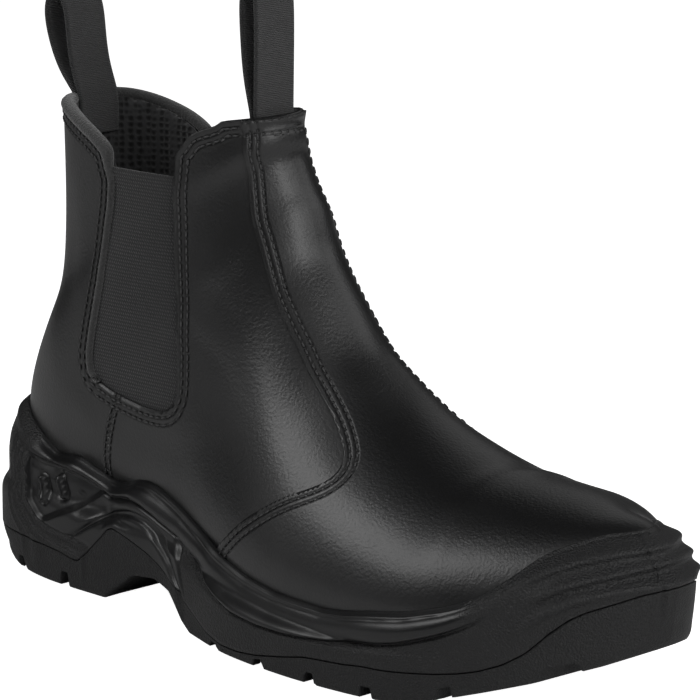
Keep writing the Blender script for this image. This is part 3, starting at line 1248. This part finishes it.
for lozenge in (((36.2, 35.6), (38.6, 28.9)), ((45.0, 37.2), (47.6, 31.6))):
    away = line_gap(wx, wz, lozenge)
    relief += 2.1 * hump(away, 1.45) - 0.7 * bell(away - 1.9, 0.45)
relief += 0.5 * bell(np.hypot(wx - 56.0, wz - 33.6) - 0.7, 0.3)

# Heel wrap: thin ribs that follow the window's edge round the back of the heel
wrap_s = 1000.0 * np.repeat(heel_run[:, None], WALL_ROWS, axis=1)
edge_s = float(np.interp(0.026, x_plan[:stations // 2], heel_run[:stations // 2])) * 1000.0
wrap_edge = [(edge_s - 1.0, 50.0)] + [(x - 26.0 + edge_s, z) for x, z in WINDOW_FOOT[2:12]]
wrap_near = line_gap(wrap_s, wz, wrap_edge)
on_wrap = smooth_step(np.maximum(-over_window, 26.0 - wx), -0.2, 0.4)
on_wrap *= (1.0 - smooth_step(wx, 60.0, 68.0)) * smooth_step(-over_roll, 0.0, 1.2)
relief += on_wrap * 0.7 * bell(wrap_near - 0.9, 1.0)
for reach, high in ((4.6, 0.75), (8.6, 0.65), (12.6, 0.5)):
    relief += on_wrap * high * bell(wrap_near - reach, 0.75)

# Toe: three rounded ridges under the leather's edge, and the mould's flash line
toe_zone = smooth_step(wx, 252.0, 262.0)
for start, crest in TOE_RIDGES:
    relief += 1.9 * smooth_step(wx, start, start + 12.0) * bell(above_line(crest), 1.75)
flash = wy - np.interp(wz, (42.2, 50.0, 57.8, 63.0), (-2.0, -4.0, -6.0, -10.0))
relief += (0.35 * bell(flash - 1.6, 0.8) - 0.9 * bell(flash, 0.45)) * smooth_step(wx, 276.0, 282.0)

# The sand-textured faces stand a little proud of the smooth ones
sand_amount = 1.0 - np.maximum(waist_zone, roll_fade * smooth_step(over_roll, -0.6, 0.0))
sand_amount *= 1.0 - smooth_step(wedge, -0.2, 0.2) * smooth_step(wz, 12.0, 14.0)
sand_face = (1.0 - toe_zone) * smooth_step(wx, 118.0, 126.0)
sand_face *= smooth_step(-over_roll, 0.2, 1.6) * smooth_step(over_parting, 0.0, 1.2)
relief += 0.3 * sand_amount * sand_face
relief *= smooth_step(rows_down, 0.0, 0.03)[None, :]
wall_in -= 0.001 * relief


def ring_points_at(depth, height):
    """Points a depth in from the sole's outline, at a height."""
    return np.column_stack([plan_loop - plan_out * depth[:, None], height])


layers = [
    ring_points_at(wall_leather[:, 0] + 0.0030, edge_z - 0.0010),
    ring_points_at(wall_leather[:, 0] + 0.0004, edge_z + 0.0007),
    ring_points_at(wall_leather[:, 0] - 0.0007, edge_z + 0.0008),
]
layers += [ring_points_at(wall_in[:, k], wall_z[:, k]) for k in range(WALL_ROWS)]
layers += [ring_points_at(wall_in[:, -1] + inset, parting_z - 0.00025) for inset in (0.0006, 0.0060)]


def ring_wall(name, layers):
    """Closed band round the sole from its layers, top to bottom."""
    grid = np.stack(layers, axis=1)
    return net(name, np.concatenate([grid, grid[:1]]))


sidewall = ring_wall("foam_sidewall", layers)
sand_values = np.concatenate(
    [np.ones((stations, 3)) * sand_amount[:, :1], sand_amount, np.ones((stations, 2))], axis=1
)
keep_values(sidewall, "sand", np.concatenate([sand_values, sand_values[:1]]).ravel())
weld(sidewall, 0.00001)


def moulded_finish(name, sand_colour, sand_roughness, sand_depth, smooth=None):
    """Moulded black foam or rubber, finely pitted; smooth is the colour and roughness elsewhere."""
    finish, tree, shader = new_finish(name, 0.5)
    place = place_node(tree)
    pits = texture(tree, "Noise", place, Scale=1500.0, Detail=2.0).outputs[0]
    grit = texture(tree, "Voronoi", place, Scale=1300.0).outputs["Distance"]
    cloud = texture(tree, "Noise", place, Scale=30.0, Detail=5.0).outputs[0]
    height = math_node(tree, "ADD", pits, math_node(tree, "MULTIPLY", grit, 0.6))
    colour = sand_colour
    rough = sand_roughness
    if smooth:
        amount = soft_range(tree, attribute_node(tree, "sand").outputs["Fac"], 0.25, 0.75)
        pitted = math_node(tree, "ADD", math_node(tree, "MULTIPLY", amount, 0.95), 0.05)
        height = math_node(tree, "MULTIPLY", height, pitted)
        colour = colour_blend(tree, amount, smooth[0], sand_colour)
        rough = math_node(tree, "MULTIPLY", amount, sand_roughness - smooth[1])
        rough = math_node(tree, "ADD", rough, smooth[1])
    specks = math_node(tree, "MULTIPLY", soft_range(tree, pits, 0.70, 0.78), 0.35)
    tree.links.new(colour_blend(tree, specks, colour, (0.10, 0.10, 0.10)), shader.inputs["Base Color"])
    uneven = math_node(tree, "MULTIPLY", math_node(tree, "SUBTRACT", cloud, 0.5), 0.12)
    tree.links.new(math_node(tree, "ADD", rough, uneven), shader.inputs["Roughness"])
    bump_chain(tree, shader, [(height, sand_depth)])
    return finish


foam = moulded_finish("moulded_foam", (0.010, 0.010, 0.0105), 0.52, 0.0004, ((0.0085, 0.0085, 0.009), 0.34))
finish_piece(sidewall, (foam,), "midsole", "midsole")

# The tread. Harder black rubber moulded under the foam, with a heel block, an arched waist and
# lugs parted by grooves that open at the sides.
TREAD_LINE = (
    (-0.01, 0.10), (0.010, 0.0), (0.243, 0.0), (0.250, 0.10), (0.290, 0.46), (0.330, 0.52),
    (0.360, 0.42), (0.395, 0.10), (0.415, 0.0), (0.730, 0.0), (0.767, 0.04), (0.803, 0.15),
    (0.850, 0.33), (0.893, 0.50), (0.943, 0.72), (0.970, 0.87), (1.000, 1.05),
)
TREAD_RISE = 0.024
GROOVE_HALF = 0.0021
HEEL_GROOVE = 0.0052
FORE_GROOVE = 0.0040
SLOT_EDGE = 0.0003
RAIL_REACH = 0.0108
RUNG_STEP = 0.0125
TREAD_GROOVES = (
    # station, side, lean
    (0.088, -1, 0.10), (0.172, -1, -0.06), (0.100, 1, -0.10), (0.180, 1, 0.06),
    (0.470, -1, 0.22), (0.555, -1, 0.14), (0.640, -1, 0.05), (0.722, -1, -0.06),
    (0.812, -1, -0.20), (0.893, -1, -0.36), (0.450, 1, -0.22), (0.535, 1, -0.14),
    (0.620, 1, -0.05), (0.702, 1, 0.06), (0.792, 1, 0.20), (0.880, 1, 0.36),
)


def tread_height(x):
    """Underside of the tread, between its grooves."""
    table = np.array(TREAD_LINE)
    return np.interp(x, table[:, 0] * SOLE_LENGTH, table[:, 1] * TREAD_RISE)


def slot(half, off):
    """1 inside a slot of this half width and 0 outside it, soft at its edges."""
    return smooth_step(half - np.abs(off), -SLOT_EDGE, SLOT_EDGE)


def groove_depth(x, y):
    """How deep the grooves cut up into the tread."""
    deep = np.zeros(x.shape)
    for station, side, lean in TREAD_GROOVES:
        off = (x - station * SOLE_LENGTH) * math.cos(lean) + (y - side * 0.044) * math.sin(lean)
        cut = slot(GROOVE_HALF, off) * smooth_step(side * y - RAIL_REACH, 0.0, 0.0006)
        deep = np.maximum(deep, cut * (HEEL_GROOVE if station < 0.25 else FORE_GROOVE))
    fore = smooth_step(x, 0.128, 0.132) * (1.0 - smooth_step(x, 0.262, 0.266))
    heel = smooth_step(x, 0.016, 0.018) * (1.0 - smooth_step(x, 0.062, 0.064))
    for middle in (-0.0145, 0.0095):
        rail = y - middle - 0.002 * np.sin((x - 0.178) * 260.0)
        deep = np.maximum(deep, 0.0030 * (fore + heel) * slot(0.0013, rail))
    rung = np.abs((x / RUNG_STEP) % 1.0 - 0.5) * RUNG_STEP
    middle_zone = smooth_step(0.0105 - np.abs(y + 0.0025), 0.0, 0.0004)
    return np.maximum(deep, 0.0026 * fore * middle_zone * slot(0.0012, rung))


EDGE_TUCK = 0.0010
HEEL_TUCK = 0.0088
TOE_TUCK = 0.0060
TREAD_ROWS = 26
ROUNDING = 0.72  # share of the wall's height above its rounded foot
top_z = parting_z - 0.0006
depth_top = wall_in[:, -1] + 0.0002
heel_back = np.clip(1.0 - x_plan / (0.16 * SOLE_LENGTH), 0.0, 1.0)
toe_front = np.clip((x_plan / SOLE_LENGTH - 0.90) / 0.09, 0.0, 1.0)
tuck = EDGE_TUCK + HEEL_TUCK * heel_back ** 2 + TOE_TUCK * toe_front
low = plan_loop - plan_out * tuck[:, None]
bottom_z = tread_height(low[:, 0])
round_z = np.minimum(bottom_z + 0.0015 + 1.2 * (tuck - EDGE_TUCK), 0.5 * (bottom_z + top_z))
roof_z = bottom_z + groove_depth(low[:, 0], low[:, 1])
tread_layers = [ring_points_at(depth_top + 0.0060, top_z), ring_points_at(depth_top + 0.0004, top_z)]
for share in np.linspace(0.0, 1.0, TREAD_ROWS):
    above = np.clip(share / ROUNDING, 0.0, 1.0)
    below = np.clip((share - ROUNDING) / (1.0 - ROUNDING), 0.0, 1.0)
    z = top_z + (round_z - top_z) * above + (bottom_z - round_z) * below
    curve = 1.0 - np.sqrt(1.0 - below ** 2)
    depth = depth_top + (0.3 * tuck - depth_top) * above ** 1.5 + 0.7 * tuck * curve
    z = np.maximum(z, np.minimum(roof_z, top_z - 0.001))
    tread_layers.append(ring_points_at(depth, z))
tread_wall = ring_wall("rubber_tread_wall", tread_layers)

ACROSS = 104
half_count = stations // 2
outer_low = tread_layers[-1][:half_count + 1]
inner_low = np.concatenate([tread_layers[-1][:1], tread_layers[-1][::-1][:half_count]])
shares = np.linspace(0.0, 1.0, ACROSS + 1)[None, :, None]
under = outer_low[:, None, :] * (1.0 - shares) + inner_low[:, None, :] * shares
under_z = tread_height(under[:, :, 0]) + groove_depth(under[:, :, 0], under[:, :, 1])
rim_gap = np.minimum(shares, 1.0 - shares)[:, :, 0] * np.linalg.norm(outer_low - inner_low, axis=1)[:, None]
under[:, :, 2] = np.where(rim_gap < 1e-6, under[:, :, 2], under_z)
tread_face = net("rubber_tread_face", under)
weld(tread_wall, 0.00001)
weld(tread_face, 0.00001)
if sum(f.normal.z * f.area for f in tread_face.data.polygons) > 0.0:
    tread_face.data.flip_normals()
rubber = moulded_finish("moulded_rubber", (0.0095, 0.0095, 0.010), 0.6, 0.00045)
finish_piece(tread_wall, (rubber,), "outsole", "outsole")
finish_piece(tread_face, (rubber,), "outsole")
